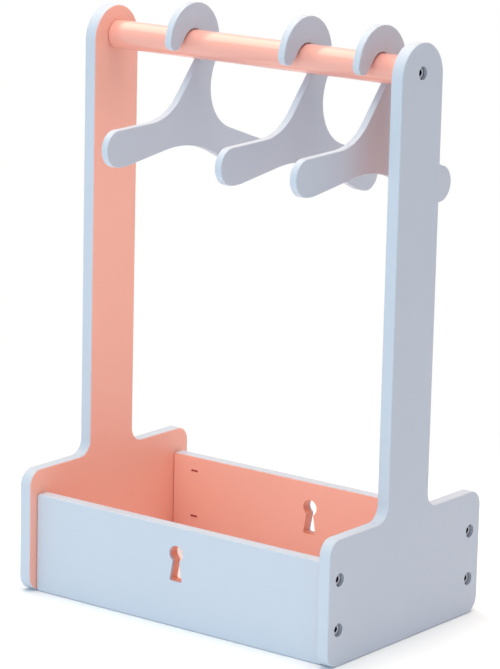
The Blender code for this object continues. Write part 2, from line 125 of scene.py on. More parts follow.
def middle_of(node: str) -> Vector:
    """Returns the middle of a solid's box."""
    low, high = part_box(node)
    return (low + high) / 2


def onto_axis(middle: Vector) -> Matrix:
    """Returns the move from the X axis to the line along X through a solid's middle."""
    return Matrix.Translation((0, middle.y, middle.z))


def corner_nodes(kind: str) -> list[tuple[str, str, str]]:
    """Lists the solids of one kind at the box's corners, each with its face and its side."""
    return [(f"{kind}_{level}_{face}_{side}", face, side)
            for level in LEVELS for face in FACES for side in SIDES]


# Outlines


def arc(centre: Vector, radius: float, start: float, end: float) -> list[Vector]:
    """Points on an arc, both ends included.

    Args:
        centre: The arc's centre, in the outline's plane.
        radius: Its radius.
        start: The angle where it starts.
        end: The angle where it ends.

    Returns:
        The points in order, close enough together to look round.
    """
    facet = 2 * math.acos(max(0.0, 1 - ARC_SAG / radius))
    steps = max(1, math.ceil(abs(end - start) / facet))
    angles = [start + (end - start) * step / steps for step in range(steps + 1)]
    return [centre + radius * Vector((math.cos(angle), math.sin(angle))) for angle in angles]


def meeting(point: Vector, along: Vector, other_point: Vector, other_along: Vector) -> Vector:
    """Finds where two lines meet.

    Args:
        point: A point on the first line.
        along: The first line's direction.
        other_point: A point on the second line.
        other_along: The second line's direction.

    Returns:
        The point that both lines share.
    """
    across = Vector((-other_along.y, other_along.x))
    return point + along * ((other_point - point).dot(across) / along.dot(across))


def rim_arc(end: float, radius: float, rounding: float) -> list[Vector]:
    """Returns the points that round a turned piece's rim, from its higher end to its side."""
    return arc(Vector((end - rounding, radius - rounding)), rounding, 0, math.pi / 2)


def sharp(points: Iterable[Vector]) -> list[tuple[Vector, float]]:
    """Returns outline corners that stay as they are."""
    return [(point, 0.0) for point in points]


def rounded(corners: Sequence[tuple[Any, float]]) -> list[Vector]:
    """Rounds each corner of an outline with an arc that touches both its walls.

    Where a wall is too short for the arcs at its two ends, both give way alike.

    Args:
        corners: Pairs of a corner and its radius, anticlockwise.

    Returns:
        The rounded outline's points, none of them doubled.
    """
    count = len(corners)
    points = [Vector(corner) for corner, radius in corners]
    walls = [points[(i + 1) % count] - points[i] for i in range(count)]
    turns = [math.atan2(walls[i - 1].cross(walls[i]), walls[i - 1].dot(walls[i]))
             for i in range(count)]
    reaches = [corners[i][1] * math.tan(abs(turns[i]) / 2) for i in range(count)]
    fits = [walls[i].length / max(reaches[i] + reaches[(i + 1) % count], walls[i].length)
            for i in range(count)]
    outline: list[Vector] = []
    for i, (corner, radius) in enumerate(corners):
        share = min(fits[i - 1], fits[i])
        if radius * share * abs(turns[i]) < MERGE_DISTANCE:
            outline.append(points[i])
            continue
        into = walls[i - 1].normalized()
        inward = Vector((-into.y, into.x)) * math.copysign(1, turns[i])
        centre = points[i] - into * reaches[i] * share + inward * radius * share
        start = math.atan2(-inward.y, -inward.x)
        outline += arc(centre, radius * share, start, start + turns[i])
    return [point for i, point in enumerate(outline)
            if (point - outline[i - 1]).length > MERGE_DISTANCE]


def centroid(outline: Sequence[Vector]) -> Vector:
    """Finds the centre of area of a closed outline.

    Args:
        outline: The outline's points.

    Returns:
        The point on which a flat piece of this shape would balance.
    """
    area = 0.0
    moment = Vector((0, 0))
    for i, point in enumerate(outline):
        before = outline[i - 1]
        doubled = before.cross(point)
        area += doubled
        moment += (before + point) * doubled
    return moment / (3 * area)


# The bench


class Workpiece:
    """A mesh that is shaped with Blender's operators until it is finished."""

    def __init__(self, obj: bpy.types.Object) -> None:
        """Takes an object onto the bench."""
        self.obj = obj

    @classmethod
    def taken_up(cls, name: str) -> "Workpiece":
        """Takes the object that was just added onto the bench, with its place in its mesh.

        Args:
            name: The piece's name.

        Returns:
            The piece.
        """
        obj = bpy.context.object
        obj.name = name
        obj.data.name = name
        bpy.ops.object.transform_apply(location=True, rotation=True, scale=True)
        return cls(obj)

    @classmethod
    def wire(cls, name: str, points: Sequence[Vector]) -> "Workpiece":
        """Starts a piece as one vertex and extrudes it from point to point.

        Args:
            name: The piece's name.
            points: The points of the wire, in order.

        Returns:
            The piece, in edit mode and with its wire selected.
        """
        bpy.ops.object.select_all(action="DESELECT")
        bpy.ops.mesh.primitive_plane_add(size=SEED_SIZE, location=points[0])
        piece = cls.taken_up(name)
        bpy.ops.object.mode_set(mode="EDIT")
        bpy.ops.mesh.select_mode(type="VERT")
        bpy.ops.mesh.select_all(action="SELECT")
        bpy.ops.mesh.merge(type="CENTER")
        for before, after in zip(points, points[1:]):
            bpy.ops.mesh.extrude_region_move(TRANSFORM_OT_translate={"value": after - before})
        bpy.ops.mesh.select_all(action="SELECT")
        return piece

    @classmethod
    def plate(cls, name: str, outline: Sequence[Vector], plane: Matrix, low: float,
              high: float) -> "Workpiece":
        """Fills an outline and extrudes it into a flat plate.

        Args:
            name: The piece's name.
            outline: The outline's points.
            plane: The outline's plane, with its thickness as the third column.
            low: Where the plate starts along its thickness.
            high: Where it ends.

        Returns:
            The closed plate.
        """
        piece = cls.wire(name, [plane @ Vector((point.x, point.y, low)) for point in outline])
        bpy.ops.mesh.edge_face_add()
        through = plane.to_3x3() @ Vector((0, 0, high - low))
        bpy.ops.mesh.extrude_region_move(TRANSFORM_OT_translate={"value": through})
        return piece.closed()

    @classmethod
    def turned(cls, name: str, profile: Iterable[Iterable[float]], sides: int) -> "Workpiece":
        """Spins a profile about the X axis.

        Args:
            name: The piece's name.
            profile: Pairs of a place along X and a radius.
            sides: The number of facets round the piece.

        Returns:
            The closed round piece.
        """
        piece = cls.wire(name, [Vector((along, 0, radius)) for along, radius in profile])
        bpy.ops.mesh.spin(steps=sides, angle=2 * math.pi, center=(0, 0, 0), axis=(1, 0, 0))
        return piece.closed()

    @classmethod
    def rod(cls, name: str, start: float, end: float, radius: float, sides: int) -> "Workpiece":
        """Turns a plain rod along the X axis.

        Args:
            name: The piece's name.
            start: Where it starts.
            end: Where it ends.
            radius: Its radius.
            sides: The number of facets round it.

        Returns:
            The rod.
        """
        return cls.turned(name, [(start, 0), (start, radius), (end, radius), (end, 0)], sides)

    @classmethod
    def block(cls, name: str, low: Vector, high: Vector) -> "Workpiece":
        """Adds a box between two corners.

        Args:
            name: The piece's name.
            low: Its lowest corner.
            high: Its highest corner.

        Returns:
            The box.
        """
        bpy.ops.object.select_all(action="DESELECT")
        bpy.ops.mesh.primitive_cube_add(size=1, location=(low + high) / 2, scale=high - low)
        return cls.taken_up(name)

    def activate(self) -> None:
        """Selects this piece alone and makes it the active one."""
        bpy.ops.object.select_all(action="DESELECT")
        self.obj.select_set(True)
        bpy.context.view_layer.objects.active = self.obj

    def closed(self) -> "Workpiece":
        """Merges doubled points, turns the faces outwards and leaves edit mode.

        Returns:
            The piece itself.
        """
        bpy.ops.mesh.select_all(action="SELECT")
        bpy.ops.mesh.remove_doubles(threshold=MERGE_DISTANCE)
        bpy.ops.mesh.normals_make_consistent(inside=False)
        bpy.ops.object.mode_set(mode="OBJECT")
        return self

    def moved(self, matrix: Matrix) -> "Workpiece":
        """Moves the piece's points and returns the piece."""
        self.obj.data.transform(matrix)
        return self

    def copied(self, name: str, matrix: Matrix) -> "Workpiece":
        """Copies the piece with its own mesh and moves the copy.

        Args:
            name: The copy's name.
            matrix: The move, which is applied to the copy's mesh.

        Returns:
            The copy.
        """
        self.activate()
        bpy.ops.object.duplicate()
        bpy.context.object.matrix_world = matrix
        return Workpiece.taken_up(name)

    def discarded(self) -> None:
        """Takes a piece that is used up off the bench."""
        bpy.data.objects.remove(self.obj, do_unlink=True)

    def modified(self, kind: str, **settings: Any) -> "Workpiece":
        """Adds a modifier, sets it and applies it.

        Args:
            kind: The modifier's type.
            **settings: The modifier's properties.

        Returns:
            The piece itself.
        """
        self.activate()
        bpy.ops.object.modifier_add(type=kind)
        modifier = self.obj.modifiers[-1]
        for setting, value in settings.items():
            setattr(modifier, setting, value)
        bpy.ops.object.modifier_apply(modifier=modifier.name)
        return self

    def cut(self, cutters: Iterable["Workpiece"]) -> "Workpiece":
        """Cuts the piece by others, which are used up.

        Args:
            cutters: The pieces to take away.

        Returns:
            The piece itself.
        """
        for cutter in cutters:
            self.modified("BOOLEAN", operation="DIFFERENCE", solver="EXACT", object=cutter.obj)
            cutter.discarded()
        return self

    def rims_rounded(self, width: float, segments: int) -> "Workpiece":
        """Rounds every sharp edge of the piece.

        Args:
            width: The rounding's radius.
            segments: The number of facets across it.

        Returns:
            The piece itself.
        """
        return self.modified("BEVEL", width=width, segments=segments, limit_method="ANGLE",
                             angle_limit=RIM_ANGLE, use_clamp_overlap=True)

    def select(self, rule: Callable[[bmesh.types.BMFace], bool]) -> None:
        """Selects the faces that meet a rule, in edit mode.

        Args:
            rule: Says whether a face is wanted.
        """
        self.activate()
        bpy.ops.object.mode_set(mode="EDIT")
        bpy.ops.mesh.select_mode(type="FACE")
        bpy.ops.mesh.select_all(action="DESELECT")
        mesh = bmesh.from_edit_mesh(self.obj.data)
        for face in mesh.faces:
            face.select_set(rule(face))
        bmesh.update_edit_mesh(self.obj.data)

    def dressed(self, finishes: dict[Zone, bpy.types.Material],
                rule: Callable[[bpy.types.MeshPolygon], Zone] = lambda face: Zone.MAIN) -> "Workpiece":
        """Gives the piece its materials and its smooth shading.

        Args:
            finishes: The material of each zone.
            rule: Says which zone a face lies in.

        Returns:
            The piece itself.
        """
        zones = list(finishes)
        self.obj.data.materials.clear()
        for material in finishes.values():
            self.obj.data.materials.append(material)
        for face in self.obj.data.polygons:
            face.material_index = zones.index(rule(face))
        self.activate()
        bpy.ops.object.shade_smooth_by_angle(angle=SMOOTH_ANGLE)
        return self.modified("WEIGHTED_NORMAL", mode="FACE_AREA", keep_sharp=True)

    def mounted(self, slot: Slot, node: str, body: str = "rack") -> "Workpiece":
        """Puts the finished piece on its body, in place of its solid.

        Args:
            slot: The piece's material slot; not used.
            node: The solid that it stands for.
            body: The body that carries it.

        Returns:
            The piece itself.
        """
        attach(self.obj, body)
        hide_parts(node)
        log.info("%s: %d faces", self.obj.name, len(self.obj.data.polygons))
        return self


# Finishes


class Graph:
    """A node tree that is built by adding nodes and linking their sockets."""

    def __init__(self, tree: bpy.types.NodeTree) -> None:
        """Starts from a tree, whose nodes are kept."""
        self.tree = tree

    def feed(self, node: bpy.types.Node, inputs: dict[Any, Any]) -> None:
        """Sets or links a node's sockets.

        Args:
            node: The node.
            inputs: What goes into its sockets, each a socket to link or a value to set.
        """
        for socket, value in inputs.items():
            if isinstance(value, bpy.types.NodeSocket):
                self.tree.links.new(value, node.inputs[socket])
            else:
                node.inputs[socket].default_value = value

    def add(self, kind: str, inputs: dict[Any, Any] | None = None, **settings: Any) -> bpy.types.Node:
        """Adds a node.

        Args:
            kind: The node's type.
            inputs: What goes into its sockets.
            **settings: The node's properties.

        Returns:
            The node.
        """
        node = self.tree.nodes.new(kind)
        for setting, value in settings.items():
            setattr(node, setting, value)
        self.feed(node, inputs or {})
        return node

    def calculated(self, operation: str, *values: Any) -> bpy.types.NodeSocket:
        """Adds a node that calculates with numbers, and returns its result."""
        return self.add("ShaderNodeMath", dict(enumerate(values)), operation=operation).outputs[0]

    def scaled(self, colour: Any, factor: bpy.types.NodeSocket) -> bpy.types.NodeSocket:
        """Adds a node that scales a colour, and returns its result."""
        inputs = {0: colour, "Scale": factor}
        return self.add("ShaderNodeVectorMath", inputs, operation="SCALE").outputs[0]

    def carried_over(self, value: bpy.types.NodeSocket, span: tuple[float, float],
                     new_span: tuple[float, float], **settings: Any) -> bpy.types.NodeSocket:
        """Adds a node that carries a value over from one range to another.

        Args:
            value: The value.
            span: The range that it comes from.
            new_span: The range that it goes to.
            **settings: The node's properties.

        Returns:
            The node's result.
        """
        inputs = {"Value": value, "From Min": span[0], "From Max": span[1],
                  "To Min": new_span[0], "To Max": new_span[1]}
        return self.add("ShaderNodeMapRange", inputs, **settings).outputs[0]

    def bump(self, height: bpy.types.NodeSocket, distance: float) -> bpy.types.NodeSocket:
        """Adds a relief of the given depth, and returns its normal."""
        inputs = {"Height": height, "Strength": 1.0, "Distance": distance}
        return self.add("ShaderNodeBump", inputs).outputs["Normal"]

    def object_position(self) -> bpy.types.NodeSocket:
        """Returns the place on the piece, in its object's coordinates."""
        return self.add("ShaderNodeTexCoord").outputs["Object"]

    def shaded(self, inputs: dict[Any, Any]) -> bpy.types.NodeSocket:
        """Feeds the material's own shader.

        Args:
            inputs: What goes into its sockets.

        Returns:
            The shader's result.
        """
        shader = self.tree.nodes["Principled BSDF"]
        self.feed(shader, inputs)
        return shader.outputs[0]

    def seen_directly(self) -> bpy.types.NodeSocket:
        """Tells rays of the camera, gloss and glass from lighting ones.

        Returns:
            A socket that is 1 for such a ray and 0 for others.
        """
        path = self.add("ShaderNodeLightPath").outputs
        mirrored = self.calculated("MAXIMUM", path["Is Glossy Ray"], path["Is Transmission Ray"])
        return self.calculated("MAXIMUM", path["Is Camera Ray"], mirrored)


def material_of(name: str, build: Callable[[Graph], None]) -> bpy.types.Material:
    """Builds a material, or finds it if it is there.

    Args:
        name: The material's name.
        build: Adds the material's nodes to its tree.

    Returns:
        The material.
    """
    if name not in bpy.data.materials:
        material = bpy.data.materials.new(name)
        material.use_nodes = True
        build(Graph(material.node_tree))
    return bpy.data.materials[name]


@dataclass(frozen=True)
class Noise:
    """A noise: its features per metre, its finer layers and how strong these are."""

    scale: float
    detail: float
    roughness: float = 0.5

    def add_to(self, graph: Graph, position: bpy.types.NodeSocket) -> bpy.types.NodeSocket:
        """Adds the noise to a tree, and returns its value."""
        inputs = {"Vector": position, "Scale": self.scale, "Detail": self.detail,
                  "Roughness": self.roughness}
        return graph.add("ShaderNodeTexNoise", inputs).outputs["Fac"]


@dataclass(frozen=True)
class PaintFilm:
    """The effect that all painted wood shares.

    The film has a broad drift of tone, grain that shows through faintly, a roller's soft marks
    and a fine stipple.
    """

    drift: Noise = Noise(11.0, 2.0)
    grain: Noise = Noise(420.0, 4.0, 0.6)
    roller: Noise = Noise(310.0, 2.0)
    stipple: Noise = Noise(2300.0, 3.0)
    grain_relief: float = 0.5
    stipple_relief: float = 0.35
    gloss_span: tuple[float, float] = (0.94, 1.06)

    def group(self) -> bpy.types.NodeTree:
        """Builds the node group, or finds it if it is there.

        Returns:
            The node group.
        """
        name = "paint_film"
        if name in bpy.data.node_groups:
            return bpy.data.node_groups[name]
        group = bpy.data.node_groups.new(name, "ShaderNodeTree")
        sockets = {"INPUT": {"Position": "Vector", "Grain Stretch": "Vector", "Colour": "Color",
                             "Tone Drift": "Float", "Gloss": "Float"},
                   "OUTPUT": {"Colour": "Color", "Roughness": "Float", "Height": "Float"}}
        for way, kinds in sockets.items():
            for label, kind in kinds.items():
                group.interface.new_socket(label, in_out=way, socket_type=f"NodeSocket{kind}")
        graph = Graph(group)
        given = graph.add("NodeGroupInput").outputs
        position = given["Position"]
        along = graph.add("ShaderNodeVectorMath", {0: position, 1: given["Grain Stretch"]},
                          operation="MULTIPLY").outputs[0]
        drift = self.drift.add_to(graph, position)
        grain = self.grain.add_to(graph, along)
        roller = self.roller.add_to(graph, position)
        stipple = self.stipple.add_to(graph, position)

        spread = graph.calculated("SUBTRACT", graph.calculated("ADD", drift, grain), 1.0)
        bright = graph.calculated("MULTIPLY_ADD", spread, given["Tone Drift"], 1.0)
        rough = graph.carried_over(roller, NOISE_SPAN, self.gloss_span)
        soft = graph.calculated("MULTIPLY_ADD", grain, self.grain_relief, roller)
        graph.add("NodeGroupOutput", {
            "Colour": graph.scaled(given["Colour"], bright),
            "Roughness": graph.calculated("MULTIPLY", rough, given["Gloss"]),
            "Height": graph.calculated("MULTIPLY_ADD", stipple, self.stipple_relief, soft)})
        return group


@dataclass(frozen=True)
class Paint:
    """Satin paint on wood, with the grain running one way."""

    name: str
    colour: tuple[float, float, float]
    roughness: float = 0.42
    tone_drift: float = 0.025
    film_height: float = 0.00003
    grain_shrink: float = 0.06
    varnish: float = 0.0
    varnish_roughness: float = 0.24
    varnish_ior: float = 1.5

    def material(self, grain: Axis) -> bpy.types.Material:
        """Returns the material for wood whose grain runs along an axis."""
        return material_of(f"{self.name}_{grain.name.lower()}", lambda graph: self.coat(graph, grain))

    def coat(self, graph: Graph, grain: Axis) -> None:
        """Adds the paint's nodes.

        Args:
            graph: The material's tree.
            grain: The direction of the wood's grain.
        """
        stretch = [1.0, 1.0, 1.0]
        stretch[grain.value] = self.grain_shrink
        inputs = {"Position": graph.object_position(), "Grain Stretch": stretch,
                  "Colour": (*self.colour, 1.0), "Tone Drift": self.tone_drift, "Gloss": self.roughness}
        film = graph.add("ShaderNodeGroup", inputs, node_tree=PaintFilm().group()).outputs
        graph.shaded({"Base Color": film["Colour"], "Roughness": film["Roughness"],
                      "Normal": graph.bump(film["Height"], self.film_height),
                      "Coat Weight": self.varnish, "Coat Roughness": self.varnish_roughness,
                      "Coat IOR": self.varnish_ior})


@dataclass(frozen=True)
class Steel:
    """Plated steel with fine marks from turning."""

    name: str
    colour: tuple[float, float, float]
    roughness: float = 0.34
    roughness_spread: float = 0.12
    marks: Noise = Noise(5200.0, 3.0)
    mark_height: float = 0.00001
    plating: Noise = Noise(700.0, 2.0)
    plating_shades: tuple[float, float] = (0.85, 1.1)

    def material(self) -> bpy.types.Material:
        """Returns the material."""
        return material_of(self.name, self.plate)

    def plate(self, graph: Graph) -> None:
        """Adds the steel's nodes.

        Args:
            graph: The material's tree.
        """
        position = graph.object_position()
        marks = self.marks.add_to(graph, position)
        shade = graph.carried_over(self.plating.add_to(graph, position), NOISE_SPAN, self.plating_shades)
        rough = graph.calculated("MULTIPLY_ADD", marks, self.roughness_spread,
                                 self.roughness - self.roughness_spread / 2)
        graph.shaded({"Base Color": graph.scaled(self.colour, shade), "Roughness": rough, "Metallic": 1.0,
                      "Normal": graph.bump(marks, self.mark_height)})


WHITE = Paint("pale_paint", (0.51, 0.555, 0.65))
CORAL = Paint("coral_paint", (0.955, 0.46, 0.366))
# Painted shade: the keyhole's wall is a darker coral than the inner faces, for the shade inside the hole.
KEYHOLE_SHADED_CORAL = Paint("keyhole_coral_paint", (0.80, 0.31, 0.21))
# Painted shade with a painted pink reflection of the coral: the front band of the keyhole's wall, where
# the outer coat runs in, is darker and pinker than the white.
KEYHOLE_BAND_PAINTED_SHADE = Paint("keyhole_band_painted_shade", (0.50, 0.40, 0.49))
RAIL_CORAL = Paint("rail_coral_paint", (0.83, 0.36, 0.295), roughness=0.34, varnish=1.0,
                   varnish_roughness=0.13, varnish_ior=1.62)
# Painted shade: the nut's slot is a dark red-brown for the shade inside the narrow slot.
SLOT_SHADE = Paint("slot_paint", (0.42, 0.05, 0.04), roughness=0.6)
BOX_WHITE = Paint("box_floor_paint", (0.76, 0.80, 0.85))
# Painted shade: a near-black ring just inside the mouth of each bolt's bore.
BORE_SHADE = Paint("bore_shade", (0.07, 0.07, 0.10), roughness=0.6)
STEEL = Steel("zinc_steel", (0.56, 0.57, 0.62))
# Painted shade: the rounded side of a bolt's head is darker steel, for the shade in the gap round the
# head.
BOLT_RIM_PAINTED_SHADE = Steel("bolt_rim_painted_shade", (0.20, 0.20, 0.24), roughness=0.45)
# Painted shade: the hexagon socket is near-black steel, for the shade inside it.
HEX_PAINTED_SHADE = Steel("hex_socket_painted_shade", (0.05, 0.05, 0.06), roughness=0.5)


# The rack


@dataclass(frozen=True)
class Thread:
    """A screw thread on a piece that is turned about the X axis."""

    pitch: float
    depth: float
    rings_per_turn: int

    def rings(self, start: float, end: float, radius: float) -> list[tuple[float, float]]:
        """Divides a stretch of the piece's profile finely enough for the thread.

        Args:
            start: Where the stretch starts along X.
            end: Where it ends.
            radius: Its radius.

        Returns:
            Pairs of a place along X and a radius, both ends included.
        """
        count = math.ceil(abs(end - start) / self.pitch * self.rings_per_turn)
        return [(start + (end - start) * ring / count, radius) for ring in range(count + 1)]

    def cut_into(self, piece: Workpiece, low: float, high: float) -> None:
        """Cuts the thread by moving points of the piece's outside inwards.

        Args:
            piece: The piece.
            low: The thread's lower end along X.
            high: Its higher end.
        """
        stretch = [vertex for vertex in piece.obj.data.vertices if low <= vertex.co.x <= high]
        crest = max(math.hypot(vertex.co.y, vertex.co.z) for vertex in stretch)
        for vertex in stretch:
            radius = math.hypot(vertex.co.y, vertex.co.z)
            if radius < crest - MERGE_DISTANCE:
                continue
            angle = math.atan2(vertex.co.z, vertex.co.y)
            phase = (vertex.co.x / self.pitch + angle / (2 * math.pi)) % 1
            share = (crest - self.depth * 2 * abs(phase - 1 / 2)) / radius
            vertex.co.y *= share
            vertex.co.z *= share


@dataclass
class BoxFloor:
    """The thin floor of the box, with a thinner rim that lies in grooves in the four boards."""

    rim_width: float = 0.003
    rim_thickness: float = 0.002
    groove_gap: float = 0.0003
    edge_rounding: float = 0.0002
    rounding_steps: int = 2

    def rim_box(self) -> tuple[Vector, Vector]:
        """Returns the lowest and the highest corner of the rim."""
        low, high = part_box("floor_panel")
        return low, Vector((high.x, high.y, low.z + self.rim_thickness))

    def groove_cutter(self) -> Workpiece:
        """Makes a cutter for the grooves.

        Returns:
            A block that is larger than the rim by the gap all round.
        """
        low, high = self.rim_box()
        gap = Vector((self.groove_gap, self.groove_gap, self.groove_gap))
        return Workpiece.block("groove", low - gap, high + gap)

    def build(self) -> None:
        """Insets a board's top face and raises it."""
        low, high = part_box("floor_panel")
        board = Workpiece.block("box_floor_board", *self.rim_box())
        board.select(lambda face: face.normal.z > FLAT_DOT)
        bpy.ops.mesh.inset(thickness=self.rim_width)
        rise = high.z - low.z - self.rim_thickness
        bpy.ops.mesh.extrude_region_move(TRANSFORM_OT_translate={"value": (0, 0, rise)})
        board.closed().rims_rounded(self.edge_rounding, self.rounding_steps)
        board.dressed({Zone.MAIN: BOX_WHITE.material(Axis.X)}).mounted(Slot.FLOOR, "floor_panel")


@dataclass(frozen=True)
class Bore:
    """A bolt's bore through a side board, with room for the sunk head."""

    head_diameter: float = 0.010
    shank_diameter: float = 0.0056
    seat_depth: float = 0.0058
    mouth_rounding: float = 0.0004
    shade_depth: float = 0.0009
    sides: int = 64

    def cutter(self, outside: float, inside: float, centre: Vector) -> Workpiece:
        """Makes the cutter for one bore, along X.

        Args:
            outside: The board's outer face.
            inside: Its inner face.
            centre: A point on the bore's axis.

        Returns:
            The cutter, which flares at the outer face.
        """
        head = self.head_diameter / 2
        shank = self.shank_diameter / 2
        seat = outside - self.seat_depth
        wide = head + self.mouth_rounding
        flare_centre = Vector((outside - self.mouth_rounding, wide))
        flare = arc(flare_centre, self.mouth_rounding, 0, -math.pi / 2)
        profile = [(outside + CUT_OVERRUN, 0), (outside + CUT_OVERRUN, wide), *flare,
                   (outside - self.shade_depth, head), (seat, head), (seat, shank),
                   (inside - CUT_OVERRUN, shank), (inside - CUT_OVERRUN, 0)]
        cutter = Workpiece.turned("bore", profile, self.sides)
        return cutter.moved(onto_axis(centre))


@dataclass
class SideBoards:
    """The two T-shaped boards that carry the rack, coral inside and white outside."""

    upright_width: float = 0.052
    base_height: float = 0.097
    base_corner_radius: float = 0.0125
    fillet_radius: float = 0.012
    edge_rounding: float = 0.0010
    rounding_steps: int = 5
    bore: Bore = Bore()

    def outline(self, half_depth: float, height: float) -> list[Vector]:
        """Draws the T, in depth and height.

        Args:
            half_depth: Half the foot's depth.
            height: The board's height.

        Returns:
            The outline's points.
        """
        half = self.upright_width / 2
        corners = [((-half_depth, 0), self.base_corner_radius),
                   ((half_depth, 0), self.base_corner_radius),
                   ((half_depth, self.base_height), self.base_corner_radius),
                   ((half, self.base_height), self.fillet_radius)]
        corners += sharp(arc(Vector((0, height - half)), half, 0, math.pi))
        corners += [((-half, self.base_height), self.fillet_radius),
                    ((-half_depth, self.base_height), self.base_corner_radius)]
        return rounded(corners)

    def zone(self, face: bpy.types.MeshPolygon, low: float, high: float,
             centres: Sequence[Vector]) -> Zone:
        """Finds the zone of one of the right board's faces.

        Args:
            face: The face.
            low: The board's inner face along X.
            high: Its outer face.
            centres: A point on each bore's axis.

        Returns:
            The inner face, a bore's mouth in painted shade, or the rest.
        """
        place = face.center
        if face.normal.x < -PAINT_WRAP_DOT and place.x < low + self.edge_rounding:
            return Zone.INSIDE
        reach = self.bore.head_diameter / 2
        in_bore = any(math.hypot(place.y - centre.y, place.z - centre.z) < reach for centre in centres)
        at_mouth = high - self.bore.shade_depth < place.x < high - self.bore.mouth_rounding
        return Zone.BORE if in_bore and at_mouth else Zone.MAIN

    def build(self) -> None:
        """Models the right board and turns a copy of it for the left."""
        low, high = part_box("right_side_panel")
        board = Workpiece.plate("right_side_board", self.outline(high.y, high.z), SIDE_PLANE,
                                low.x, high.x)
        board.rims_rounded(self.edge_rounding, self.rounding_steps)
        bolts = [node for node, face, side in corner_nodes("bolt") if side == "right"]
        centres = [middle_of(bolt) for bolt in ["rail_bolt_right"] + bolts]
        cutters = [self.bore.cutter(high.x, low.x, centre) for centre in centres]
        board.cut(cutters + [BoxFloor().groove_cutter()])
        board.dressed({Zone.MAIN: WHITE.material(Axis.Z), Zone.INSIDE: CORAL.material(Axis.Z),
                       Zone.BORE: BORE_SHADE.material(Axis.Z)},
                      lambda face: self.zone(face, low.x, high.x, centres))
        board.copied("left_side_board", HALF_TURN).mounted(Slot.BOARD, "left_side_panel")
        board.mounted(Slot.BOARD, "right_side_panel")


@dataclass(frozen=True)
class Keyhole:
    """The keyhole in a box board's middle: a round head on a foot that spreads downwards."""

    top_margin: float = 0.0148
    head_radius: float = 0.0062
    neck_width: float = 0.0058
    foot_width: float = 0.0116
    foot_drop: float = 0.0215
    foot_radius: float = 0.0015
    rim_rounding: float = 0.0008
    rounding_steps: int = 4
    shaded_band_depth: float = 0.0024
    reach: float = 0.002

    def outline(self, height: float) -> list[Vector]:
        """Draws the keyhole, in width and height.

        Args:
            height: The board's height.

        Returns:
            The outline's points.
        """
        head = Vector((0, height - self.top_margin - self.head_radius))
        half_foot = self.foot_width / 2
        start = math.asin(self.neck_width / 2 / self.head_radius) - math.pi / 2
        corners = sharp(arc(head, self.head_radius, start, math.pi - start))
        corners += [((-half_foot, head.y - self.foot_drop), self.foot_radius),
                    ((half_foot, head.y - self.foot_drop), self.foot_radius)]
        return rounded(corners)

    def surrounds(self, place: Vector, height: float) -> bool:
        """Says whether a place lies in the keyhole or within its reach.

        Args:
            place: The place.
            height: The board's height.

        Returns:
            Whether only the keyhole can have cut a face there.
        """
        top = height - self.top_margin
        bottom = top - self.head_radius - self.foot_drop
        return (abs(place.x) < self.head_radius + self.reach
                and bottom - self.reach < place.z < top + self.reach)

    def cut(self, board: Workpiece, height: float, low: float, high: float) -> None:
        """Cuts the keyhole, rounds its two rims and parts its wall where the painted-shade band at its
        front ends.

        Args:
            board: The board to cut.
            height: The board's height.
            low: The board's front face along Y.
            high: Its back face.
        """
        board.cut([Workpiece.plate("keyhole", self.outline(height), FRONT_PLANE,
                                   -high - CUT_OVERRUN, -low + CUT_OVERRUN)])

        def is_wall(face: bmesh.types.BMFace) -> bool:
            """Says whether a face belongs to the keyhole's wall."""
            return abs(face.normal.y) < STEEP_DOT and self.surrounds(face.calc_center_median(), height)

        board.select(is_wall)
        bpy.ops.mesh.region_to_loop()
        bpy.ops.mesh.bevel(offset=self.rim_rounding, segments=self.rounding_steps, affect="EDGES",
                           clamp_overlap=True)
        bpy.ops.object.mode_set(mode="OBJECT")
        board.select(is_wall)
        bpy.ops.mesh.bisect(plane_co=(0, low + self.shaded_band_depth, 0), plane_no=(0, 1, 0))
        bpy.ops.object.mode_set(mode="OBJECT")


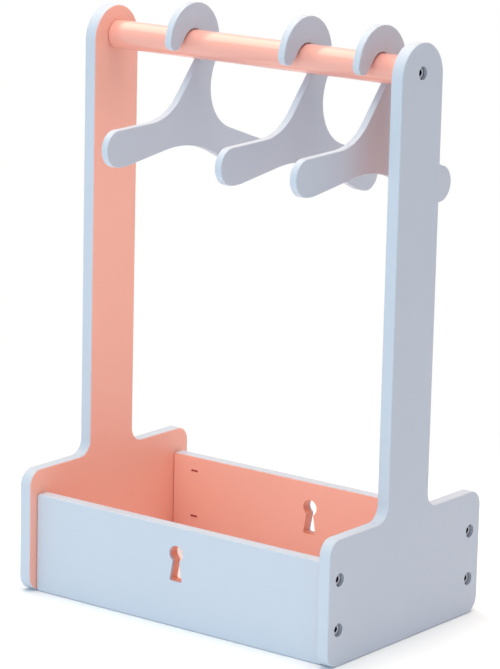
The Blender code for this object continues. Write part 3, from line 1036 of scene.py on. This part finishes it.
@dataclass
class BoxBoards:
    """The front and back boards of the box, each with a keyhole and bores for its nuts."""

    corner_radius: float = 0.0025
    edge_rounding: float = 0.0010
    rounding_steps: int = 5
    nut_bore_gap: float = 0.00004
    bolt_bore_diameter: float = 0.0056
    bore_end_spare: float = 0.001
    bore_sides: int = 48
    keyhole: Keyhole = Keyhole()

    def bore_cutters(self, low: float, high: float) -> list[Workpiece]:
        """Makes the cutters for the nuts and for the bolts that reach them.

        Args:
            low: The board's lower end along X.
            high: Its upper end.

        Returns:
            One cutter for each bore.
        """
        cutters = []
        for side in SIDES:
            for level in LEVELS:
                nut_low, nut_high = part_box(f"nut_{level}_front_{side}")
                middle = (nut_low + nut_high) / 2
                radius = (nut_high.x - nut_low.x) / 2 + self.nut_bore_gap
                bore = Workpiece.rod("nut_bore", nut_low.y - self.nut_bore_gap,
                                     nut_high.y + CUT_OVERRUN, radius, self.bore_sides)
                cutters.append(bore.moved(Matrix.Translation((middle.x, 0, middle.z)) @ QUARTER_TURN))
                bolt_low, bolt_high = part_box(f"bolt_{level}_front_{side}")
                tip = bolt_low.x - self.bore_end_spare
                mouth = high + CUT_OVERRUN
                if side == "left":
                    tip = bolt_high.x + self.bore_end_spare
                    mouth = low - CUT_OVERRUN
                radius = self.bolt_bore_diameter / 2
                bore = Workpiece.rod("bolt_bore", tip, mouth, radius, self.bore_sides)
                cutters.append(bore.moved(onto_axis(middle)))
        return cutters

    def zone(self, face: bpy.types.MeshPolygon, low: Vector, high: Vector) -> Zone:
        """Finds the zone of one of the front board's faces.

        Args:
            face: The face.
            low: The board's lowest corner.
            high: Its highest corner.

        Returns:
            The inner face and the ends, the keyhole's wall and its front band, both in painted shade, or
            the rest.
        """
        place, normal = face.center, face.normal
        if normal.y > PAINT_WRAP_DOT and place.y > high.y - self.edge_rounding:
            return Zone.INSIDE
        at_end = abs(place.x) > high.x - self.edge_rounding
        if at_end and place.y > (low.y + high.y) / 2 and abs(normal.z) < STEEP_DOT:
            return Zone.INSIDE
        if (self.keyhole.surrounds(place, high.z) and abs(normal.y) < FLAT_DOT
                and place.y > low.y + self.keyhole.rim_rounding / 2):
            return Zone.SHADED_BAND if place.y < low.y + self.keyhole.shaded_band_depth else Zone.KEYHOLE
        return Zone.INSIDE if abs(normal.x) > FLAT_DOT else Zone.MAIN

    def build(self) -> None:
        """Models the front board and turns a copy of it for the back."""
        low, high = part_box("front_panel")
        corners = [(low.x, 0), (high.x, 0), (high.x, high.z), (low.x, high.z)]
        outline = rounded([(corner, self.corner_radius) for corner in corners])
        board = Workpiece.plate("front_box_board", outline, FRONT_PLANE, -high.y, -low.y)
        board.rims_rounded(self.edge_rounding, self.rounding_steps)
        self.keyhole.cut(board, high.z, low.y, high.y)
        board.cut([BoxFloor().groove_cutter()] + self.bore_cutters(low.x, high.x))
        board.dressed({Zone.MAIN: WHITE.material(Axis.X), Zone.INSIDE: CORAL.material(Axis.X),
                       Zone.KEYHOLE: KEYHOLE_SHADED_CORAL.material(Axis.X),
                       Zone.SHADED_BAND: KEYHOLE_BAND_PAINTED_SHADE.material(Axis.X)}, lambda face: self.zone(face, low, high))
        board.copied("back_box_board", HALF_TURN).mounted(Slot.BOARD, "back_panel")
        board.mounted(Slot.BOARD, "front_panel")


@dataclass
class Rail:
    """The round rail between the uprights, with a bore for an insert in each end."""

    end_rounding: float = 0.0008
    bore_diameter: float = 0.0086
    bore_depth: float = 0.014
    sides: int = 128

    def build(self) -> None:
        """Turns the rail from its profile."""
        low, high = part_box("rail")
        middle = (low + high) / 2
        radius = (high.z - low.z) / 2
        bore = self.bore_diameter / 2
        half = [(high.x - self.bore_depth, 0), (high.x - self.bore_depth, bore), (high.x, bore),
                *rim_arc(high.x, radius, self.end_rounding)]
        other_half = [(2 * middle.x - along, distance) for along, distance in reversed(half)]
        rail = Workpiece.turned("round_rail", half + other_half, self.sides)
        rail.moved(onto_axis(middle))
        rail.dressed({Zone.MAIN: RAIL_CORAL.material(Axis.X)}).mounted(Slot.RAIL, "rail")


@dataclass
class RailInserts:
    """The threaded inserts in the rail's ends."""

    bore_diameter: float = 0.0056
    thread: Thread = Thread(pitch=0.0022, depth=0.0005, rings_per_turn=8)
    sides: int = 32

    def build(self) -> None:
        """Models the right insert and copies it to both ends."""
        low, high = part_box("rail_insert_right")
        bore = self.bore_diameter / 2
        profile = [(low.x, bore), *self.thread.rings(low.x, high.x, (high.z - low.z) / 2),
                   (high.x, bore), (low.x, bore)]
        model = Workpiece.turned("insert_model", profile, self.sides)
        self.thread.cut_into(model, low.x, high.x)
        model.moved(onto_axis(middle_of("rail_insert_right")))
        model.dressed({Zone.MAIN: STEEL.material()})
        for side in SIDES:
            insert = model.copied(f"thread_insert_{side}", TURNS[side])
            insert.mounted(Slot.STEEL, f"rail_insert_{side}")
        model.discarded()


@dataclass
class Bolts:
    """The socket bolts: eight through the side boards into the box boards, two into the rail."""

    head_height: float = 0.003
    head_diameter: float = 0.0094
    head_rounding: float = 0.0006
    shank_diameter: float = 0.005
    thread: Thread = Thread(pitch=0.0008, depth=0.00045, rings_per_turn=6)
    thread_clear: float = 0.002
    tip_chamfer: float = 0.0006
    socket_width: float = 0.0042
    socket_sides: int = 6
    socket_depth: float = 0.002
    socket_chamfer: float = 0.0003
    sides: int = 32

    def socket_corner(self) -> float:
        """Returns the distance from the bolt's axis to a corner of its socket."""
        return self.socket_width / 2 / math.cos(math.pi / self.socket_sides)

    def bolt(self, name: str, outside: float, tip: float) -> Workpiece:
        """Turns one bolt about X, with its head at the higher end.

        Args:
            name: The bolt's name.
            outside: The head's outer face along X.
            tip: The shank's tip.

        Returns:
            The bolt, threaded and with its socket.
        """
        head = self.head_diameter / 2
        shank = self.shank_diameter / 2
        seat = outside - self.head_height
        corner = self.socket_corner()
        chamfer = outside - self.socket_chamfer
        thread_low = tip + self.tip_chamfer
        thread_high = seat - self.thread_clear
        profile = [(chamfer, 0), (chamfer, corner), (outside, corner + self.socket_chamfer),
                   *rim_arc(outside, head, self.head_rounding), (seat, head), (seat, shank),
                   *self.thread.rings(thread_high, thread_low, shank),
                   (tip, shank - self.tip_chamfer), (tip, 0)]
        bolt = Workpiece.turned(name, profile, self.sides)
        self.thread.cut_into(bolt, thread_low, thread_high)
        angles = [2 * math.pi * k / self.socket_sides for k in range(self.socket_sides)]
        hexagon = [Vector((corner * math.cos(angle), corner * math.sin(angle))) for angle in angles]
        socket = Workpiece.plate("socket", hexagon, SIDE_PLANE, outside - self.socket_depth,
                                 outside + CUT_OVERRUN)
        return bolt.cut([socket])

    def zone(self, face: bpy.types.MeshPolygon, outside: float) -> Zone:
        """Finds the zone of one of a bolt's faces.

        Args:
            face: The face.
            outside: The head's outer face along X.

        Returns:
            The hexagon socket and the head's side, both in painted shade, or the rest.
        """
        reach = math.hypot(face.center.y, face.center.z)
        bottom = outside - self.socket_depth - MERGE_DISTANCE
        rim = outside - self.socket_chamfer - MERGE_DISTANCE
        if reach < self.socket_corner() and bottom < face.center.x < rim:
            return Zone.SOCKET
        on_side = reach > self.head_diameter / 2 - self.head_rounding and face.normal.x < FLAT_DOT
        return Zone.HEAD_SIDE if on_side else Zone.MAIN

    def family(self, pattern: str, places: Iterable[tuple[str, str]]) -> None:
        """Models a bolt of one length and copies it to every place.

        Args:
            pattern: The right-hand bolt that gives the length.
            places: Each bolt's node and its side.
        """
        low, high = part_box(pattern)
        model = self.bolt("bolt_model", high.x, low.x)
        model.dressed({Zone.MAIN: STEEL.material(), Zone.SOCKET: HEX_PAINTED_SHADE.material(),
                       Zone.HEAD_SIDE: BOLT_RIM_PAINTED_SHADE.material()}, lambda face: self.zone(face, high.x))
        for node, side in places:
            bolt = model.copied(f"socket_{node}", onto_axis(middle_of(node)) @ TURNS[side])
            bolt.mounted(Slot.STEEL, node)
        model.discarded()

    def build(self) -> None:
        """Makes the box's bolts and the rail's."""
        self.family("bolt_lower_front_right", [(node, side) for node, face, side in corner_nodes("bolt")])
        self.family("rail_bolt_right", [(f"rail_bolt_{side}", side) for side in SIDES])


@dataclass
class BarrelNuts:
    """The cross nuts in the box boards, with their slotted ends painted over."""

    rim_rounding: float = 0.0001
    slot_length: float = 0.0064
    slot_width: float = 0.0018
    slot_depth: float = 0.0007
    bore_diameter: float = 0.0056
    sides: int = 64

    def nut(self, name: str, radius: float, length: float, bolt_offset: float) -> Workpiece:
        """Turns one nut along Y about the origin, with its slotted end at the back.

        Args:
            name: The nut's name.
            radius: Its radius.
            length: Its length.
            bolt_offset: How far behind the nut's middle its bolt passes.

        Returns:
            The nut, slotted and bored.
        """
        end = length / 2
        rim = rim_arc(end, radius, self.rim_rounding)
        nut = Workpiece.turned(name, [(end, 0), *rim, (-end, radius), (-end, 0)], self.sides)
        nut.moved(QUARTER_TURN)
        half = Vector((self.slot_length, 0, self.slot_width)) / 2
        slot = Workpiece.block("slot", Vector((-half.x, end - self.slot_depth, -half.z)),
                               Vector((half.x, end + CUT_OVERRUN, half.z)))
        reach = radius + CUT_OVERRUN
        bore = Workpiece.rod("bore", -reach, reach, self.bore_diameter / 2, self.sides)
        return nut.cut([slot, bore.moved(Matrix.Translation((0, bolt_offset, 0)))])

    def zone(self, face: bpy.types.MeshPolygon, end: float) -> Zone:
        """Finds the zone of one of a nut's faces.

        Args:
            face: The face.
            end: The nut's slotted end along Y.

        Returns:
            The end, its slot in painted shade, or the rest.
        """
        place = face.center
        if place.y > end - self.rim_rounding:
            return Zone.END
        in_slot = abs(place.z) < self.slot_width and abs(place.x) < self.slot_length
        return Zone.SLOT if in_slot and place.y > end - 2 * self.slot_depth else Zone.MAIN

    def build(self) -> None:
        """Models one nut of the front board and copies it to every place."""
        low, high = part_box("nut_lower_front_right")
        bolt_offset = middle_of("bolt_lower_front_right").y - middle_of("nut_lower_front_right").y
        length = high.y - low.y
        model = self.nut("nut_model", (high.x - low.x) / 2, length, bolt_offset)
        model.dressed({Zone.MAIN: STEEL.material(), Zone.END: CORAL.material(Axis.X),
                       Zone.SLOT: SLOT_SHADE.material(Axis.X)}, lambda face: self.zone(face, length / 2))
        for node, face, side in corner_nodes("nut"):
            place = Matrix.Translation(middle_of(node)) @ TURNS[face]
            model.copied(f"barrel_{node}", place).mounted(Slot.NUT, node)
        model.discarded()


@dataclass
class Hangers:
    """The three flat hangers, each hung at its balance on the rail."""

    edge_rounding: float = 0.0008
    rounding_steps: int = 5
    rest_gap: float = 0.0003
    slot_play: float = 0.0020
    slot_angle: float = math.radians(58.6)
    hook_wall: float = 0.0170
    hook_centre_up: float = 0.0017
    hook_tip_radius: float = 0.0068
    neck_back_drop: float = 0.0060
    neck_back_angle: float = math.radians(17.4)
    neck_back_radius: float = 0.0254
    neck_root_back_radius: float = 0.0358
    neck_root_front_radius: float = 0.0472
    arm_centre_back: float = 0.0089
    arm_reach: float = 0.0995
    arm_tip_radius: float = 0.0140
    arm_tip_drop: float = 0.0825
    arm_top_angle: float = math.radians(10.2)
    arm_under_angle: float = math.radians(16.9)
    arm_under_flat: float = 0.0071
    arm_heel_radius: float = 0.0482
    arch_radius: float = 0.1015

    def outline(self, rail_radius: float) -> list[Vector]:
        """Draws the hanger in depth and height about the rail's axis, before it swings.

        Args:
            rail_radius: The radius of the rail that it hangs on.

        Returns:
            The outline's points, with every curve as an arc that runs into the next.
        """
        slot_radius = rail_radius + self.slot_play
        mouth = Vector((-math.cos(self.slot_angle), -math.sin(self.slot_angle)))
        to_tip = Vector((mouth.y, -mouth.x))
        slot_centre = mouth * (self.slot_play - self.rest_gap)
        hook_radius = slot_radius + self.hook_wall
        hook_centre = Vector((0, self.hook_centre_up))

        # The hook's tip touches the hook's round back and the slot's front wall
        from_hook = slot_centre + to_tip * (slot_radius + self.hook_tip_radius) - hook_centre
        towards = from_hook.dot(mouth)
        spread = (hook_radius - self.hook_tip_radius) ** 2 - from_hook.length_squared
        tip_centre = hook_centre + from_hook + mouth * (math.sqrt(towards ** 2 + spread) - towards)
        tip_from_hook = tip_centre - hook_centre
        tip_start = math.atan2(tip_from_hook.y, tip_from_hook.x) % (2 * math.pi)
        slot_start = math.atan2(to_tip.y, to_tip.x)

        # The arms' round ends, with the flat and the slopes that run into them
        tip_radius = self.arm_tip_radius
        end_offset = self.arm_reach - tip_radius
        front_end = Vector((self.arm_centre_back - end_offset, -self.arm_tip_drop))
        back_end = Vector((self.arm_centre_back + end_offset, -self.arm_tip_drop))
        top_angle = self.arm_top_angle
        front_top = arc(front_end, tip_radius, math.pi / 2 + top_angle, 3 * math.pi / 2)
        back_top = arc(back_end, tip_radius, -math.pi / 2, math.pi / 2 - top_angle)
        underside = -self.arm_tip_drop - tip_radius
        heel_offset = end_offset - self.arm_under_flat
        arch_height = underside + heel_offset * math.tan(self.arm_under_angle)

        # Where the neck's edges meet the arms' top edges
        front_slope = Vector((math.cos(top_angle), math.sin(top_angle)))
        back_slope = Vector((math.cos(top_angle), -math.sin(top_angle)))
        neck_front = meeting(slot_centre - to_tip * slot_radius, mouth, front_top[0], front_slope)
        neck_back = Vector((hook_radius, -self.neck_back_drop))
        neck_lean = Vector((-math.sin(self.neck_back_angle), -math.cos(self.neck_back_angle)))
        neck_root = meeting(neck_back, neck_lean, back_top[-1], back_slope)

        corners = sharp(arc(hook_centre, hook_radius, 0, tip_start))
        corners += sharp(arc(tip_centre, self.hook_tip_radius, tip_start, slot_start + math.pi)[1:])
        corners += sharp(arc(slot_centre, slot_radius, slot_start, slot_start - math.pi))
        corners += [(neck_front, self.neck_root_front_radius)]
        corners += sharp(front_top)
        corners += [((self.arm_centre_back - heel_offset, underside), self.arm_heel_radius),
                    ((self.arm_centre_back, arch_height), self.arch_radius),
                    ((self.arm_centre_back + heel_offset, underside), self.arm_heel_radius)]
        corners += sharp(back_top)
        corners += [(neck_root, self.neck_root_back_radius), (neck_back, self.neck_back_radius)]
        return rounded(corners)

    def build(self) -> None:
        """Models one hanger, lets it swing to its balance and copies it along the rail."""
        rail_low, rail_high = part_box("rail")
        rail_middle = (rail_low + rail_high) / 2
        outline = self.outline((rail_high.z - rail_low.z) / 2)
        low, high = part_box("hanger_left")
        half = (high.x - low.x) / 2
        model = Workpiece.plate("hanger_model", outline, SIDE_PLANE, -half, half)
        model.rims_rounded(self.edge_rounding, self.rounding_steps)
        weight = centroid(outline)
        swing = Matrix.Rotation(-math.atan2(weight.x, -weight.y), 4, "X")
        model.dressed({Zone.MAIN: WHITE.material(Axis.Y)})
        for place in ("left", "middle", "right"):
            node = f"hanger_{place}"
            move = Matrix.Translation((middle_of(node).x, rail_middle.y, rail_middle.z))
            hanger = model.copied(f"{place}_hanger_board", move @ swing)
            hanger.mounted(Slot.HANGER, node, f"{place}_hanger")
        model.discarded()


# The studio


@dataclass(frozen=True)
class Lamp:
    """A soft lamp that points at the rack, with the first of its two widths level."""

    name: str
    place: tuple[float, float, float]
    widths: tuple[float, float]
    power: float
    colour: tuple[float, float, float]

    def build(self, target: Vector) -> None:
        """Hangs the lamp.

        Args:
            target: The point that it faces.
        """
        light = bpy.data.lights.new(self.name, "AREA")
        light.shape = "RECTANGLE"
        light.size, light.size_y = self.widths
        light.energy = self.power
        light.color = self.colour
        lamp = bpy.data.objects.new(self.name, light)
        lamp.location = self.place
        lamp.rotation_mode = "QUATERNION"
        lamp.rotation_quaternion = (target - Vector(self.place)).to_track_quat("-Z", "Y")
        bpy.context.scene.collection.objects.link(lamp)


@dataclass
class Studio:
    """The camera, the pale floor, the white surround and the lamps."""

    azimuth: float = math.radians(37.1358)
    elevation: float = math.radians(12.9195)
    roll: float = math.radians(1.3320)
    distance: float = 2.41257
    target: tuple[float, float, float] = (0.055473, -0.076984, 0.232639)
    lens: float = 177.627
    clip_end: float = 50.0
    floor_size: float = 12.0
    floor_drop: float = 0.0002
    floor_colour: tuple[float, float, float] = (0.90, 0.93, 0.97)
    floor_roughness: float = 0.9
    real_floor_reach: float = 0.22
    white_floor_reach: float = 0.60
    surround_colour: tuple[float, float, float] = (0.92, 0.95, 1.0)
    surround_strength: float = 0.555
    lamp_target: tuple[float, float, float] = (0.0, 0.0, 0.22)
    lamps: tuple[Lamp, ...] = (
        Lamp("top_lamp", (0.0, 0.0, 2.4), (1.6, 1.6), 43.0, (1.0, 0.91, 0.77)),
        Lamp("sheen_lamp", (-1.6, -0.1, 2.4), (2.6, 0.7), 12.5, (1.0, 0.89, 0.70)),
        Lamp("front_lamp", (0.2, -2.5, 0.6), (1.2, 1.2), 21.5, (0.61, 0.93, 1.0)),
        Lamp("back_lamp", (0.2, 1.5, 2.0), (1.2, 1.2), 10.1, (1.0, 0.60, 0.35)),
    )

    def camera(self) -> None:
        """Sets the camera up where the photograph was taken."""
        back = Vector((math.sin(self.azimuth) * math.cos(self.elevation),
                       -math.cos(self.azimuth) * math.cos(self.elevation),
                       math.sin(self.elevation)))
        level = Vector((0, 0, 1)).cross(back).normalized()
        upright = back.cross(level)
        right = math.cos(self.roll) * level + math.sin(self.roll) * upright
        up = back.cross(right)
        data = bpy.data.cameras.new("camera")
        data.lens = self.lens
        data.clip_end = self.clip_end
        camera = bpy.data.objects.new("camera", data)
        turn = Matrix((right, up, back)).transposed().to_4x4()
        camera.matrix_world = Matrix.Translation(Vector(self.target) + back * self.distance) @ turn
        bpy.context.scene.collection.objects.link(camera)
        bpy.context.scene.camera = camera

    def surround(self) -> None:
        """Makes the world white to look at and gives it its share of the light."""
        world = bpy.data.worlds.new("surround")
        world.use_nodes = True
        bpy.context.scene.world = world
        graph = Graph(world.node_tree)
        graph.tree.nodes.clear()
        light = graph.add("ShaderNodeBackground", {"Color": (*self.surround_colour, 1.0),
                                                   "Strength": self.surround_strength})
        white = graph.add("ShaderNodeBackground", {"Color": PURE_WHITE, "Strength": 1.0})
        mix = graph.add("ShaderNodeMixShader", {0: graph.seen_directly(), 1: light.outputs[0],
                                                2: white.outputs[0]})
        graph.add("ShaderNodeOutputWorld", {"Surface": mix.outputs[0]})

    def floor_paint(self, graph: Graph) -> None:
        """Adds the nodes of a pale floor that looks white further out.

        Args:
            graph: The material's tree.
        """
        shader = graph.shaded({"Base Color": (*self.floor_colour, 1.0),
                               "Roughness": self.floor_roughness})
        distance = graph.add("ShaderNodeVectorMath", {0: graph.object_position()},
                             operation="LENGTH").outputs["Value"]
        far = graph.carried_over(distance, (self.real_floor_reach, self.white_floor_reach), (0.0, 1.0),
                                 interpolation_type="SMOOTHSTEP")
        share = graph.calculated("MULTIPLY", far, graph.seen_directly())
        white = graph.add("ShaderNodeEmission", {"Color": PURE_WHITE, "Strength": 1.0})
        mix = graph.add("ShaderNodeMixShader", {0: share, 1: shader, 2: white.outputs[0]})
        graph.feed(graph.tree.nodes["Material Output"], {"Surface": mix.outputs[0]})

    def floor(self) -> None:
        """Lays the floor that takes the rack's shadow."""
        bpy.ops.object.select_all(action="DESELECT")
        bpy.ops.mesh.primitive_plane_add(size=self.floor_size, location=(0, 0, -self.floor_drop))
        floor = bpy.context.object
        floor.name = "studio_floor"
        floor.data.materials.append(material_of("studio_floor", self.floor_paint))

    def build(self) -> None:
        """Sets up the whole studio."""
        bpy.context.scene.view_settings.view_transform = "Standard"
        self.camera()
        self.surround()
        self.floor()
        for lamp in self.lamps:
            lamp.build(Vector(self.lamp_target))
        log.info("studio: %d lamps", len(self.lamps))


def main() -> None:
    """Builds the studio and every piece of the rack."""
    logging.basicConfig(level=logging.INFO, format="%(message)s")
    Studio().build()
    for part in (SideBoards(), BoxBoards(), BoxFloor(), Rail(), RailInserts(), Bolts(), BarrelNuts(),
                 Hangers()):
        part.build()


if __name__ == "__main__":
    main()
